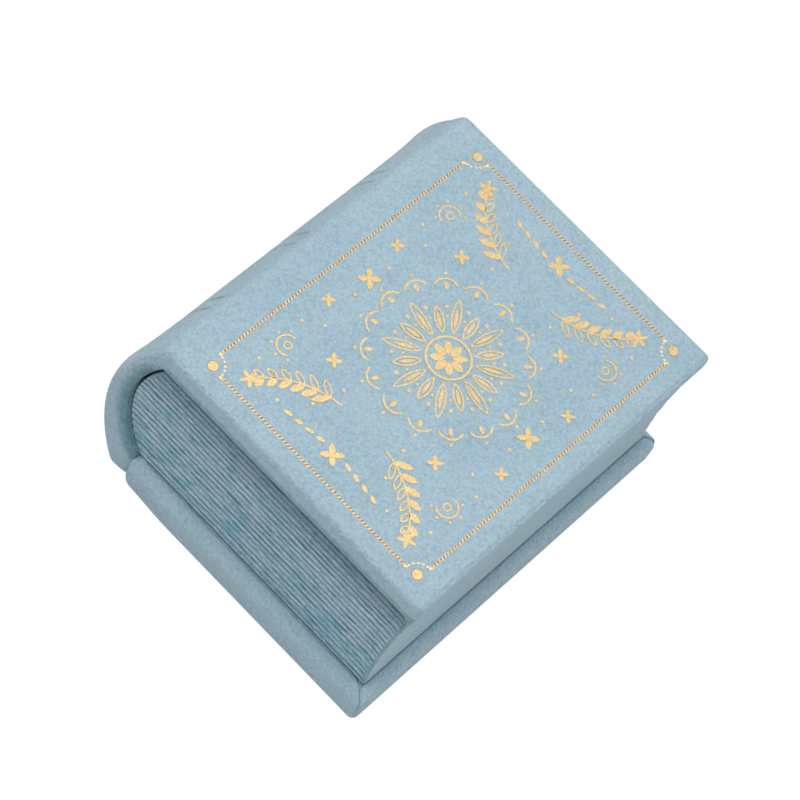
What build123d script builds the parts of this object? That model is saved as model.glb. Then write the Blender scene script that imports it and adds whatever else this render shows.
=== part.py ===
from build123d import *
import os
from math import acos, sqrt, tan

# A closed jewelry box in the shape of a small book. Millimetres.
# X runs along the spine, -Y is the fore-edge, +Y the spine, +Z is up.
# The origin is under the middle of the box, on the surface that it stands on.

# Overall form
book_length = 100.7          # lid and pages, along the spine
book_height = 54.3
lid_depth = 78.2             # fore-edge to the hinge line
spine_depth = 12.1           # hinge line to the fullest part of the spine
base_end_lip = 3.5           # how far the base stands out at head and tail
base_front_lip = 2.0         # how far the base stands out under the fore-edge
base_back_stop = 2.0         # the base's end lips stop this far before the hinge line
base_height = 9.0
lid_thickness = 7.2

# Cloth, card and clearances
skin = 0.8                   # suede with its thin foam
flap_skin = 0.5              # the same suede drawn tight over the flap
lining = 0.8                 # velvet on card
flap_velvet = 0.3
flap_end_skin = 0.5          # suede at the ends of the flap's board
flap_end_thickness = 0.8     # the flap is only its suede where it covers the page ends
seam_gap = 0.3               # between the case and what lifts off it
page_gap = 0.6               # shadow line round the page block
hinge_gap = 0.6              # between the lid and the spine, at the cloth hinge
roll_gap = 0.3

# Spine
bulge_height = 25.1          # height of the fullest part of the spine
shoulder_land = 0.13         # what stays flat on top of the spine
shoulder_reach = 1.17        # how far the rounded shoulder runs in over the top
spine_foot = 2.6             # inner foot of the spine, in front of the hinge line
spine_hollow = 6.33          # depth of the arc inside the spine, which the pages follow
spine_rim_round = 1.8
hinge_chamfer = 0.4          # on the two edges that meet at the hinge line
groove_count = 3             # pairs of pressed lines across the spine
groove_spread = 33.0         # from one pair to the next
groove_pair = 4.2            # between the two lines of a pair
groove_radius = 0.6
groove_depth = 0.4

# Edges
lid_edge_round = 1.6
flap_blend_radius = 15.0     # eases the lid's front into the hollow of the flap
base_edge_round = 2.3
base_front_round = 3.2
round_margin = 0.1           # keeps an outline's corners rounder than the edge that runs round it
mitre_width = 0.35
mitre_depth = 0.45
mitre_length = 18.0          # the fold runs this far in from the corner

# Fore-edge flap
flap_board_thickness = 1.2
flap_hollow = 1.1            # depth of its concave sweep
flap_foot_inset = 1.4        # how far its foot stands back from the lid's edge
flap_top_drop = 4.3          # from the top of the lid down to where the sweep starts

# Page ends
page_thickness = 2.0
page_inset = 0.5             # pages stand back from the lid at head and tail
rib_count = 18
rib_depth = 0.5

# Tray
wall_thickness = 2.0
floor_thickness = 2.0
rim_thickness = 1.0
rim_overhang = 0.2           # the rim stands over the lining by this
rim_setback = 0.8            # and back from the faces of the page ends, in the shadow under the lid
floor_lining_thickness = 1.0
lid_clearance = 0.4          # tray rim to the lid's lining
compartment_depth = 27.0     # front compartments, from lining to divider
divider_thickness = 1.6
divider_drop = 7.5           # the dividers stop this far below the tray's rim
roll_drop = 11.2             # and the crowns of the ring rolls this far
roll_count = 4
roll_height = 9.5
roll_foot_round = 0.8

# Lid inside
padding_thickness = 1.2
turn_in = 7.0                # suede folded under the lid's edge
mirror_length = 64.0
mirror_depth = 48.0
mirror_thickness = 1.5
mirror_recess = 0.2          # glass stands back from the velvet
mirror_gap = 0.1

# Underside
sheet_margin = 9.0           # the underside sheet stands in from the base's edge

# Magnets
magnet_diameter = 8.0
flap_magnet_thickness = 0.8
wall_magnet_thickness = 1.5
magnet_height = 22.0
magnet_spread = 56.0

# Modelling
same_place = 0.001           # points closer than this are one
cut_past = 1.0               # how far a cutting shape runs past the piece

# Places along Y. The tip is the fore-edge of the lid.
overall_depth = base_front_lip + lid_depth + spine_depth
tip_y = base_front_lip - overall_depth / 2
hinge_y = tip_y + lid_depth
base_front_y = tip_y - base_front_lip
spine_back_y = hinge_y + spine_depth
lid_back_y = hinge_y - hinge_gap / 2
spine_front_y = hinge_y + hinge_gap / 2
foot_y = hinge_y - spine_foot

# Places along Z and X
lid_low_z = book_height - lid_thickness
lid_cavity_z = lid_low_z + skin
tray_top_z = lid_low_z - lid_clearance
board_top_z = base_height - skin
half_length = book_length / 2
page_outer_x = half_length - page_inset
page_inner_x = page_outer_x - page_thickness
base_half = half_length + base_end_lip

# The spine's outer face is one arc, upright at its fullest part.
shoulder_flat = hinge_gap / 2 + hinge_chamfer + shoulder_land + shoulder_reach
spine_rise = spine_depth - shoulder_flat
spine_drop = book_height - bulge_height
spine_radius = (spine_rise**2 + spine_drop**2) / (2 * spine_rise)
spine_centre = (spine_back_y - spine_radius, bulge_height)
shoulder_turn = acos(spine_drop / spine_radius)
shoulder_radius = shoulder_reach / tan(shoulder_turn / 2)


def arc_through(top, foot, depth):
    """Radius and centre of the arc through two points that bulges by depth towards higher Y."""
    half_y = (top[0] - foot[0]) / 2
    half_z = (top[1] - foot[1]) / 2
    half_chord = sqrt(half_y**2 + half_z**2)
    radius = (half_chord**2 + depth**2) / (2 * depth)
    reach = (radius - depth) / half_chord
    return radius, (foot[0] + half_y - half_z * reach, foot[1] + half_z + half_y * reach)


# The pages follow the hollow of the spine.
page_back_top_z = lid_low_z
page_back_top = (spine_front_y, page_back_top_z)
page_back_radius, page_back_centre = arc_through(page_back_top, (foot_y, base_height), spine_hollow)

# The flap is a shallow hollow arc down the fore-edge.
flap_foot_z = base_height + seam_gap
flap_top_z = book_height - flap_top_drop
flap_foot = (tip_y + flap_foot_inset, flap_foot_z)
flap_radius, flap_centre = arc_through((tip_y, flap_top_z), flap_foot, flap_hollow)
flap_thickness = flap_skin + flap_board_thickness + flap_velvet
flap_inner_y = flap_centre[0] + flap_radius + flap_thickness
wall_front_y = flap_inner_y + seam_gap
page_front_radius = flap_radius + flap_end_thickness + seam_gap
rim_front_radius = flap_radius + flap_thickness + seam_gap
flap_board_half = page_inner_x - seam_gap
wall_back_y = foot_y - page_gap - seam_gap

# Inside faces of the tray
well_front_y = wall_front_y + wall_thickness
well_back_y = wall_back_y - wall_thickness
lined_front_y = well_front_y + lining
lined_back_y = well_back_y - lining
lined_x = page_inner_x - lining
floor_top_z = board_top_z + floor_thickness
lined_floor_z = floor_top_z + floor_lining_thickness
rim_low_z = tray_top_z - rim_thickness
divider_y = lined_front_y + compartment_depth
rolls_front_y = divider_y + divider_thickness
divider_top_z = rim_low_z - divider_drop
roll_top_z = rim_low_z - roll_drop
riser_top_z = roll_top_z - roll_height


def block(x_low, x_high, y_low, y_high, z_low, z_high):
    """A box from its six faces."""
    middle = ((x_low + x_high) / 2, (y_low + y_high) / 2, (z_low + z_high) / 2)
    return Pos(*middle) * Box(x_high - x_low, y_high - y_low, z_high - z_low)


def centred_block(half_x, y_low, y_high, z_low, z_high):
    """A box that is centred along the spine."""
    return block(-half_x, half_x, y_low, y_high, z_low, z_high)


def area(y_low, y_high, z_low, z_high):
    """A rectangle in the plane across the spine."""
    return Pos((y_low + y_high) / 2, (z_low + z_high) / 2) * Rectangle(y_high - y_low, z_high - z_low)


def disc(centre, radius):
    """A round area in the plane across the spine."""
    return Pos(*centre) * Circle(radius)


def along_spine(profile, half_x):
    """Extrude an area across the spine to both sides of the middle."""
    return extrude(Plane.YZ * profile, amount=half_x, both=True)


def corner_at(profile, y, z):
    """The corner of an area across the spine that is nearest to a point."""
    return min(profile.vertices(), key=lambda v: (v.X - y) ** 2 + (v.Y - z) ** 2)


def end_edges(solid, half_x):
    """The edges in the two end faces."""
    return [e for e in solid.edges() if all(abs(abs((e @ t).X) - half_x) < same_place for t in (0, 0.5, 1))]


def base_form(inset):
    """The padded base, rounded all round, drawn in by inset."""
    low_y = base_front_y + inset
    high_y = hinge_y - base_back_stop - inset
    high_z = base_height - inset
    corners = [(low_y, inset), (high_y, inset), (high_y, high_z), (low_y, high_z)]
    small = base_edge_round + round_margin - inset
    rounds = [small, small, small, base_front_round - inset]
    outline = Wire(FilletPolyline(corners, radius=rounds, close=True).edges())
    solid = along_spine(make_face(outline), base_half - inset)
    return fillet(end_edges(solid, base_half - inset), base_edge_round - inset)


def spine_profile(inset):
    """The curved spine seen from its end: an arc outside, a tighter arc inside, an upright foot."""
    hollow_top_z = page_back_top_z + inset
    hollow = disc(page_back_centre, page_back_radius + inset)
    upper = area(spine_front_y + inset, spine_back_y, hollow_top_z, book_height - inset)
    wall = area(foot_y + inset, spine_back_y, base_height, hollow_top_z) - hollow
    foot = area(foot_y + inset, spine_back_y, inset, base_height)
    return (upper + wall + foot) & disc(spine_centre, spine_radius - inset)


def spine_form():
    """The finished outside of the spine, with soft rims at head and tail."""
    profile = spine_profile(0)
    profile = chamfer([corner_at(profile, spine_front_y, book_height)], hinge_chamfer)
    profile = fillet([corner_at(profile, hinge_y + shoulder_flat, book_height)], shoulder_radius)
    solid = along_spine(profile, half_length)
    rims = [e for e in end_edges(solid, half_length) if is_outer_rim(e)]
    return fillet(rims, spine_rim_round)


def is_outer_rim(edge):
    """True for an end edge on the outer arc, on the shoulder or on the flat top."""
    middle = edge @ 0.5
    from_centre = sqrt((middle.Y - spine_centre[0]) ** 2 + (middle.Z - spine_centre[1]) ** 2)
    on_top = middle.Z > book_height - shoulder_radius and middle.Y > spine_front_y + hinge_chamfer
    return on_top or from_centre > spine_radius - same_place


def lid_profile():
    """The lid and its fore-edge flap seen from the end."""
    slab = area(tip_y, lid_back_y, lid_low_z, book_height)
    inner = disc(flap_centre, flap_radius + flap_thickness)
    outer = disc(flap_centre, flap_radius)
    front = area(tip_y, flap_inner_y + seam_gap, flap_foot_z, lid_low_z) & inner
    hollow = outer & area(tip_y - cut_past, flap_inner_y, flap_foot_z - cut_past, flap_top_z)
    profile = slab + front - hollow
    profile = chamfer([corner_at(profile, lid_back_y, book_height)], hinge_chamfer)
    profile = fillet([corner_at(profile, tip_y, flap_top_z)], flap_blend_radius)
    return fillet([corner_at(profile, tip_y, book_height)], lid_edge_round + round_margin)


def lid_form():
    """The finished outside of the lid with its flap. The round runs on from the top edges down the flap."""
    solid = along_spine(lid_profile(), half_length)
    top_edges = [e for e in end_edges(solid, half_length) if (e @ 0.5).Z > book_height - same_place]
    return fillet(top_edges, lid_edge_round)


def flap_layer(front_skin, back_skin, half_x, low_z):
    """One layer of the flap between two arcs, up to the lid's underside."""
    back = disc(flap_centre, flap_radius + flap_thickness - back_skin)
    front = disc(flap_centre, flap_radius + front_skin)
    band = (back - front) & area(tip_y, flap_inner_y + cut_past, low_z, lid_low_z)
    return along_spine(band, half_x)


def flap_end_relief():
    """What is left out behind the suede at both ends of the flap, to make room for the page ends."""
    kept = disc(flap_centre, flap_radius + flap_end_thickness)
    behind = area(tip_y, flap_inner_y + cut_past, flap_foot_z - cut_past, lid_low_z) - kept
    return along_spine(behind, half_length + cut_past) - along_spine(behind, flap_board_half)


def page_profile(low_z, high_z, front_radius):
    """The page block seen from the end: hollow at the fore-edge, round at the spine."""
    middle_y = page_back_centre[0]
    front = area(tip_y, middle_y, low_z, high_z) - disc(flap_centre, front_radius)
    back = area(middle_y, spine_back_y, low_z, high_z) & disc(page_back_centre, page_back_radius - page_gap)
    return front + back


def make_page_end(side):
    """Card end wall with ribs like the edges of pages."""
    profile = page_profile(base_height, rim_low_z, page_front_radius)
    plate = extrude(Plane.YZ.offset(page_inner_x) * profile, amount=page_thickness)
    pitch = (rim_low_z - base_height) / rib_count
    valley_x = page_outer_x - rib_depth
    lines = [Line((page_inner_x, rim_low_z), (page_inner_x, base_height)),
             Line((page_inner_x, base_height), (valley_x, base_height))]
    for rib in range(rib_count):
        low_z = base_height + rib * pitch
        middle = (page_outer_x, low_z + pitch / 2)
        lines.append(ThreePointArc((valley_x, low_z), middle, (valley_x, low_z + pitch)))
    lines.append(Line((valley_x, rim_low_z), (page_inner_x, rim_low_z)))
    ribs = extrude(Plane.XZ * make_face(Wire(lines)), amount=overall_depth, both=True)
    wall = plate & ribs
    return wall if side > 0 else mirror(wall, about=Plane.YZ)


def magnets(y_low, y_high):
    """Two round magnets, their axes towards the fore-edge."""
    disc_solid = Rot(90, 0, 0) * Cylinder(magnet_diameter / 2, y_high - y_low)
    places = [Pos(side * magnet_spread / 2, (y_low + y_high) / 2, magnet_height) for side in (-1, 1)]
    return Compound([place * disc_solid for place in places])


def make_base(spine):
    """Board, suede and underside sheet of the base."""
    board = base_form(skin) & centred_block(base_half, base_front_y, foot_y, 0, base_height)
    reach = base_half - sheet_margin
    sheet = centred_block(reach, base_front_y + sheet_margin, foot_y - sheet_margin, 0, skin)
    window = centred_block(page_inner_x, wall_front_y, wall_back_y, board_top_z, base_height)
    wrap = base_form(0) - board - sheet - spine - window
    surface = base_form(0) - base_form(mitre_depth)
    for side in (-1, 1):
        blade = Rot(0, 0, -45 * side) * Box(2 * mitre_length, mitre_width, 2 * mitre_length)
        wrap -= surface & (Pos(side * base_half, base_front_y, 0) * blade)
    return {"base_board": board, "base_sheet": sheet, "base_wrap": wrap}


def make_spine(spine):
    """Board and suede of the spine, with the pressed lines, and the cloth in the hinge."""
    board = along_spine(spine_profile(skin), half_length - skin)
    wrap = spine - board
    line = Plane.YZ * (Pos(*spine_centre) * Torus(spine_radius + groove_radius - groove_depth, groove_radius))
    for number in range(groove_count):
        middle = (number - (groove_count - 1) / 2) * groove_spread
        for side in (-1, 1):
            wrap -= Pos(middle + side * groove_pair / 2, 0, 0) * line
    cloth_x = half_length - lid_edge_round
    cloth_y = spine_front_y - hinge_gap / 2
    cloth = centred_block(cloth_x, cloth_y, spine_front_y, lid_low_z, book_height - hinge_chamfer)
    return {"spine_board": board, "spine_wrap": wrap, "hinge_cloth": cloth}


def make_tray():
    """Walls, floor, rim and velvet linings inside the page block."""
    front = centred_block(page_inner_x, wall_front_y, well_front_y, board_top_z, rim_low_z)
    back = centred_block(page_inner_x, well_back_y, wall_back_y, board_top_z, rim_low_z)
    floor = centred_block(page_inner_x, well_front_y, well_back_y, board_top_z, floor_top_z)
    rim_profile = page_profile(rim_low_z, tray_top_z, rim_front_radius)
    rim = along_spine(rim_profile, page_outer_x - rim_setback)
    rim -= centred_block(lined_x - rim_overhang, lined_front_y + rim_overhang,
                         lined_back_y - rim_overhang, rim_low_z, tray_top_z)
    wall_pair = magnets(wall_front_y, wall_front_y + wall_magnet_thickness)
    nodes = {"front_wall": front - wall_pair, "back_wall": back, "tray_floor": floor, "tray_rim": rim}
    nodes["wall_magnets"] = wall_pair
    nodes["lining_front"] = centred_block(lined_x, well_front_y, lined_front_y, floor_top_z, rim_low_z)
    nodes["lining_back"] = centred_block(lined_x, lined_back_y, well_back_y, floor_top_z, rim_low_z)
    nodes["lining_left"] = block(-page_inner_x, -lined_x, well_front_y, well_back_y, floor_top_z, rim_low_z)
    nodes["lining_right"] = block(lined_x, page_inner_x, well_front_y, well_back_y, floor_top_z, rim_low_z)
    nodes["floor_lining"] = centred_block(lined_x, lined_front_y, lined_back_y, floor_top_z, lined_floor_z)
    nodes["divider_long"] = centred_block(lined_x, divider_y, rolls_front_y, lined_floor_z, divider_top_z)
    nodes["divider_short"] = centred_block(divider_thickness / 2, lined_front_y, divider_y,
                                           lined_floor_z, divider_top_z)
    nodes["ring_riser"] = centred_block(lined_x, rolls_front_y, lined_back_y, lined_floor_z, riser_top_z)
    return nodes


def make_ring_roll(middle_y, width):
    """Foam roll under velvet: flat foot, round crown, soft ends."""
    low_y = middle_y - width / 2
    high_y = middle_y + width / 2
    crown_z = roll_top_z - width / 2
    crown_area = disc((middle_y, crown_z), width / 2) & area(low_y, high_y, crown_z, roll_top_z)
    profile = area(low_y, high_y, riser_top_z, crown_z) + crown_area
    feet = [corner_at(profile, y, riser_top_z) for y in (low_y, high_y)]
    half_x = lined_x - roll_gap
    solid = along_spine(fillet(feet, roll_foot_round), half_x)
    crown = [e for e in end_edges(solid, half_x) if (e @ 0.5).Z > riser_top_z + roll_foot_round]
    return fillet(crown, roll_foot_round - round_margin)


def make_ring_rolls():
    """The rolls lie side by side and rings are pressed in between them."""
    pitch = (lined_back_y - rolls_front_y) / roll_count
    rolls = {}
    for number in range(roll_count):
        middle_y = rolls_front_y + (number + 0.5) * pitch
        rolls[f"ring_roll_{number + 1}"] = make_ring_roll(middle_y, pitch - roll_gap)
    return rolls


def make_lid():
    """Board, foam, suede, velvet and mirror of the lid, and the layers of its flap."""
    reach = half_length - skin
    cavity = centred_block(reach, tip_y + skin, lid_back_y - skin, lid_cavity_z, book_height - skin)
    corners = [e for e in cavity.edges().filter_by(Axis.Z) if (e @ 0.5).Y < tip_y + 2 * skin]
    cavity = fillet(corners, lid_edge_round - skin)
    padding_z = book_height - skin - padding_thickness
    padding = cavity & centred_block(half_length, tip_y, lid_back_y, padding_z, book_height)
    board = cavity & centred_block(half_length, tip_y, lid_back_y, lid_cavity_z, padding_z)
    lining_x = half_length - turn_in
    velvet = centred_block(lining_x, tip_y + turn_in, lid_back_y - turn_in, lid_low_z, lid_cavity_z)
    middle_y = (tip_y + lid_back_y) / 2
    glass_low_z = lid_low_z + mirror_recess
    glass_top_z = glass_low_z + mirror_thickness
    glass = centred_block(mirror_length / 2, middle_y - mirror_depth / 2, middle_y + mirror_depth / 2,
                          glass_low_z, glass_top_z)
    hole = centred_block(mirror_length / 2 + mirror_gap, middle_y - mirror_depth / 2 - mirror_gap,
                         middle_y + mirror_depth / 2 + mirror_gap, lid_low_z, glass_top_z)
    flap_low_z = flap_foot_z + flap_skin
    layer_half = flap_board_half - flap_end_skin
    flap_board = flap_layer(flap_skin, flap_velvet, layer_half, flap_low_z)
    flap_lining = flap_layer(flap_skin + flap_board_thickness, 0, layer_half, flap_low_z)
    face_radius = flap_radius + flap_thickness - flap_velvet
    farthest = abs(magnet_height - flap_centre[1]) + magnet_diameter / 2
    face_y = flap_centre[0] + sqrt(face_radius**2 - farthest**2)
    flap_pair = magnets(face_y - flap_magnet_thickness, face_y)
    pockets = magnets(face_y - flap_magnet_thickness, face_y + flap_velvet)
    wrap = lid_form() - cavity - velvet - flap_board - flap_lining - flap_end_relief()
    return {"lid_board": board - hole, "lid_padding": padding, "lid_wrap": wrap, "lid_lining": velvet - hole,
            "mirror": glass, "flap_board": flap_board - pockets, "flap_lining": flap_lining,
            "flap_magnets": flap_pair}


def main():
    os.makedirs("parts", exist_ok=True)
    spine = spine_form()
    nodes = make_base(spine)
    nodes.update(make_spine(spine))
    nodes["page_end_left"] = make_page_end(-1)
    nodes["page_end_right"] = make_page_end(1)
    nodes.update(make_tray())
    nodes.update(make_ring_rolls())
    nodes.update(make_lid())
    for name, shape in nodes.items():
        export_step(shape, f"parts/{name}.step")


main()
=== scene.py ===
import itertools
import math
import random
from functools import partial

import bmesh
import bpy
from mathutils import Matrix, Vector, noise


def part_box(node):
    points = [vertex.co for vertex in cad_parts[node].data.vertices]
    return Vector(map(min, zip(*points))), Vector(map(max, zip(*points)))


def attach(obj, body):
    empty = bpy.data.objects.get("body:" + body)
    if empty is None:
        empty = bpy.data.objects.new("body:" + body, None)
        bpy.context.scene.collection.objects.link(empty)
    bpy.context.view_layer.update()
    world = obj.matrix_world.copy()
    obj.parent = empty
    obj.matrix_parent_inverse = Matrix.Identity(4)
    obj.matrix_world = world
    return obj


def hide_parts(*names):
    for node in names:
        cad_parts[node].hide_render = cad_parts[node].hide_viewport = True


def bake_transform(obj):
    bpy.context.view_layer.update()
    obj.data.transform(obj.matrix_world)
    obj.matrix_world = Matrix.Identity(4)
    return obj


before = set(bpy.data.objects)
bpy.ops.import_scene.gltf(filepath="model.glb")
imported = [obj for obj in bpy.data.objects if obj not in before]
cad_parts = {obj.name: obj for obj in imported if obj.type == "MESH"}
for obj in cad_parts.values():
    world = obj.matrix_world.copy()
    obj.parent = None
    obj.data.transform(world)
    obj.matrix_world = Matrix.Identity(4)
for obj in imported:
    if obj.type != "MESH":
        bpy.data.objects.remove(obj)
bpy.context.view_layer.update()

# The view: a long lens looks down on the closed box, from beyond its left end and
# a little to the fore-edge side, and is turned about its own axis.
mm = 0.001
view_aim = Vector((-0.93, -0.81, 27.15)) * mm
view_distance = 760.85 * mm
view_azimuth = math.radians(-73.61)
view_elevation = math.radians(58.49)
view_roll = math.radians(31.26)
view_lens = 148.5

towards_camera = Vector((
    math.sin(view_azimuth) * math.cos(view_elevation),
    -math.cos(view_azimuth) * math.cos(view_elevation),
    math.sin(view_elevation),
))
level_right = Vector((math.cos(view_azimuth), math.sin(view_azimuth), 0))
level_up = towards_camera.cross(level_right)
camera_right = level_right * math.cos(view_roll) + level_up * math.sin(view_roll)
camera_up = towards_camera.cross(camera_right)
camera = bpy.data.objects.new("camera", bpy.data.cameras.new("camera"))
bpy.context.scene.collection.objects.link(camera)
camera.matrix_world = Matrix.Translation(view_aim + towards_camera * view_distance) @ Matrix(
    (camera_right, camera_up, towards_camera)
).transposed().to_4x4()
camera.data.lens = view_lens
camera.data.clip_start = view_distance * 0.1
camera.data.clip_end = view_distance * 20
bpy.context.scene.camera = camera
bpy.context.scene.view_settings.view_transform = "Standard"


# The studio: a white table under a pale sky of soft light, with one broad lamp almost overhead
# and two weaker ones, behind the spine and before the far end. Nothing here belongs to the box.
def linear(hex_code):
    """An sRGB hex colour as the linear numbers that a shader takes."""
    parts = [int(hex_code[i:i + 2], 16) / 255 for i in (1, 3, 5)]
    return (*[p / 12.92 if p <= 0.04045 else ((p + 0.055) / 1.055) ** 2.4 for p in parts], 1.0)


def set_inputs(node, inputs):
    """Gives a node's inputs values or hex colours, or links them. A node stands for its first live output."""
    for name, value in inputs.items():
        if isinstance(value, bpy.types.Node):
            value = next(output for output in value.outputs if output.enabled)
        if isinstance(value, bpy.types.NodeSocket):
            node.id_data.links.new(value, node.inputs[name])
        else:
            node.inputs[name].default_value = linear(value) if isinstance(value, str) else value


def add_node(tree, kind, inputs=None, **settings):
    """Adds a shader node with its settings and inputs. Every Mix node here mixes colours."""
    made = tree.nodes.new("ShaderNode" + kind)
    if kind == "Mix":
        made.data_type = "RGBA"
    for name, value in settings.items():
        setattr(made, name, value)
    set_inputs(made, inputs or {})
    return made


def new_material(name, shader_inputs):
    """A material with one shader. Returns it with a way to add nodes, its shader and the place on the object."""
    material = bpy.data.materials.new(name)
    material.use_nodes = True
    material.node_tree.nodes.clear()
    add = partial(add_node, material.node_tree)
    shader = add("BsdfPrincipled", shader_inputs)
    add("OutputMaterial", {"Surface": shader})
    return material, add, shader, add("TexCoord").outputs["Object"]


def soft_lamp(name, azimuth, elevation, distance, size, power):
    """A square lamp that faces the box."""
    lamp = bpy.data.objects.new(name, bpy.data.lights.new(name, "AREA"))
    bpy.context.scene.collection.objects.link(lamp)
    a, e = math.radians(azimuth), math.radians(elevation)
    away = Vector((math.sin(a) * math.cos(e), -math.cos(a) * math.cos(e), math.sin(e)))
    lamp.location = view_aim + away * distance
    lamp.rotation_mode = "QUATERNION"
    lamp.rotation_quaternion = away.to_track_quat("Z", "Y")
    lamp.data.size = size
    lamp.data.energy = power


soft_lamp("lamp_above", -118, 78, 0.9, 0.6, 5.6)
soft_lamp("lamp_back", 178, 62, 1.0, 0.6, 1.3)
soft_lamp("lamp_far", 45, 35, 1.0, 0.6, 2.4)
sky = bpy.data.worlds.new("sky")
bpy.context.scene.world = sky
sky.use_nodes = True
sky.node_tree.nodes.clear()
add = partial(add_node, sky.node_tree)
seen = add("LightPath")
seen_or_mirrored = add(
    "Math", {0: seen.outputs["Is Camera Ray"], 1: seen.outputs["Is Glossy Ray"]}, operation="MAXIMUM")
seen_at_all = add(
    "Math", {0: seen_or_mirrored, 1: seen.outputs["Is Transmission Ray"]}, operation="MAXIMUM")
sky_light = add("Background", {"Color": "#FFFFFF", "Strength": 0.42})
sky_shown = add("Background", {"Color": "#FFFFFF", "Strength": 1.0})
sky_mix = add("MixShader", {0: seen_at_all, 1: sky_light, 2: sky_shown})
add("OutputWorld", {"Surface": sky_mix})


def new_piece(bm, name, material, body, smooth_angle=40):
    """Makes a finished bmesh a piece, which rides on a body if one is named."""
    data = bpy.data.meshes.new(name)
    for face in bm.faces:
        face.smooth = True
    bm.to_mesh(data)
    bm.free()
    data.set_sharp_from_angle(angle=math.radians(smooth_angle))
    data.materials.append(material)
    made = bpy.data.objects.new(name, data)
    bpy.context.scene.collection.objects.link(made)
    if body:
        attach(made, body)
    return made


table_half = 3.0
glow_share = 0.88
glow_strength = 1.06
table_paint, add, shader, place = new_material("white_table", {"Base Color": "#F4F4F4", "Roughness": 0.8})
rays = add("LightPath")
rays_seen = add(
    "Math", {0: rays.outputs["Is Camera Ray"], 1: rays.outputs["Is Glossy Ray"]}, operation="MAXIMUM")
shown_share = add("Math", {0: rays_seen, 1: glow_share}, operation="MULTIPLY")
plain_white = add("Emission", {"Color": "#FFFFFF", "Strength": glow_strength})
table_mix = add("MixShader", {0: shown_share, 1: shader, 2: plain_white})
set_inputs(table_paint.node_tree.nodes["Material Output"], {"Surface": table_mix})
table_mesh = bmesh.new()
bmesh.ops.create_grid(table_mesh, x_segments=2, y_segments=2, size=table_half)
table = new_piece(table_mesh, "table", table_paint, None)


# Base cover: pale blue microfibre suede over thin foam, folded round the base board.
# Its two front corners are mitred, and the page block stands in the window on top.
def steps(start, stop, step):
    """Places from start to stop, evenly spaced, about a step apart."""
    count = max(1, round(abs(stop - start) / step))
    return [start + (stop - start) * i / count for i in range(count + 1)]


def slice_across(bm, normal, places, within=None):
    """Cuts the mesh with planes, so that it can bend there. Places are distances along the normal."""
    normal = Vector(normal).normalized()
    for place_along in places:
        faces = [f for f in bm.faces if within is None or within(f.calc_center_median())]
        edges = {e for f in faces for e in f.edges}
        verts = {v for f in faces for v in f.verts}
        geom = [*verts, *edges, *faces]
        bmesh.ops.bisect_plane(bm, geom=geom, dist=1e-7, plane_co=normal * place_along, plane_no=normal)


def block(low, high):
    """A closed box between two corners."""
    bm = bmesh.new()
    bmesh.ops.create_cube(bm, size=1)
    low, high = Vector(low), Vector(high)
    bmesh.ops.scale(bm, verts=bm.verts, vec=high - low)
    bmesh.ops.translate(bm, verts=bm.verts, vec=(low + high) / 2)
    return bm


def round_edges(bm, wanted, radius, segments):
    """Rounds the edges whose two ends are both wanted."""
    edges = [e for e in bm.edges if all(wanted(v.co) for v in e.verts)]
    bmesh.ops.bevel(bm, geom=edges, offset=radius, affect="EDGES", segments=segments, profile=0.5, material=-1)


def extrude(bm, faces):
    """Grows faces into walls and returns the new vertices. The faces themselves stay."""
    grown = bmesh.ops.extrude_face_region(bm, geom=faces)["geom"]
    return [g for g in grown if isinstance(g, bmesh.types.BMVert)]


def sink(bm, low, high, depth):
    """Moves the flat part between two corners along Z, as a recess."""
    for axis, normal in enumerate(((1, 0, 0), (0, 1, 0))):
        slice_across(bm, normal, (low[axis], high[axis]))
    level = low[2]
    faces = [f for f in bm.faces if abs(f.calc_center_median().z - level) < 1e-5
             and all(low[i] < f.calc_center_median()[i] < high[i] for i in (0, 1))]
    bmesh.ops.translate(bm, verts=extrude(bm, faces), vec=(0, 0, depth))
    bmesh.ops.delete(bm, geom=[f for f in faces if f.is_valid], context="FACES")


def lay_nap_and_shade(bm, amount):
    """Stores on every vertex, from 0 to 1, how far the suede is greyed there: by pressed nap, and by painted shade.
    """
    layer = bm.verts.layers.float.new("nap_and_painted_shade")
    for vert in bm.verts:
        vert[layer] = amount(vert.co)


def ease(value, low, high):
    """Runs smoothly from 0 at low to 1 at high."""
    share = min(1.0, max(0.0, (value - low) / (high - low)))
    return share * share * (3 - 2 * share)


def rounded(distance, radius):
    """How far a rounded edge stands in, at a distance from where the sharp edge would be."""
    return radius - math.sqrt(max(0.0, radius ** 2 - max(0.0, radius - distance) ** 2))


def rect_outline(half_x, low_y, high_y, radii, corner_steps, side_places):
    """Points round a rectangle with rounded corners, always equally many. Radii are for front and back."""
    arcs = []
    corners = ((-half_x, low_y, 180), (half_x, low_y, 270), (half_x, high_y, 0), (-half_x, high_y, 90))
    for number, (x, y, turn) in enumerate(corners):
        radius = radii[number // 2]
        centre_x = x - math.copysign(radius, x)
        centre_y = y + (radius if number < 2 else -radius)
        angles = [math.radians(turn + 90 * step / corner_steps) for step in range(corner_steps + 1)]
        arcs.append([(centre_x + radius * math.cos(a), centre_y + radius * math.sin(a)) for a in angles])
    points = []
    for number, arc in enumerate(arcs):
        (x0, y0), (x1, y1) = arc[-1], arcs[(number + 1) % 4][0]
        points += arc + [(x0 + (x1 - x0) * share, y0 + (y1 - y0) * share) for share in side_places]
    return points


def loft(rows):
    """A closed skin through rows of equally many points. Each row is a ring."""
    bm = bmesh.new()
    rings = [[bm.verts.new(point) for point in row] for row in rows]
    for lower, upper in zip(rings, rings[1:]):
        for number, corner in enumerate(lower):
            after = (number + 1) % len(lower)
            bm.faces.new((corner, lower[after], upper[after], upper[number]))
    bm.faces.new(rings[0])
    bm.faces.new(rings[-1])
    bmesh.ops.recalc_face_normals(bm, faces=bm.faces)
    return bm


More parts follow.
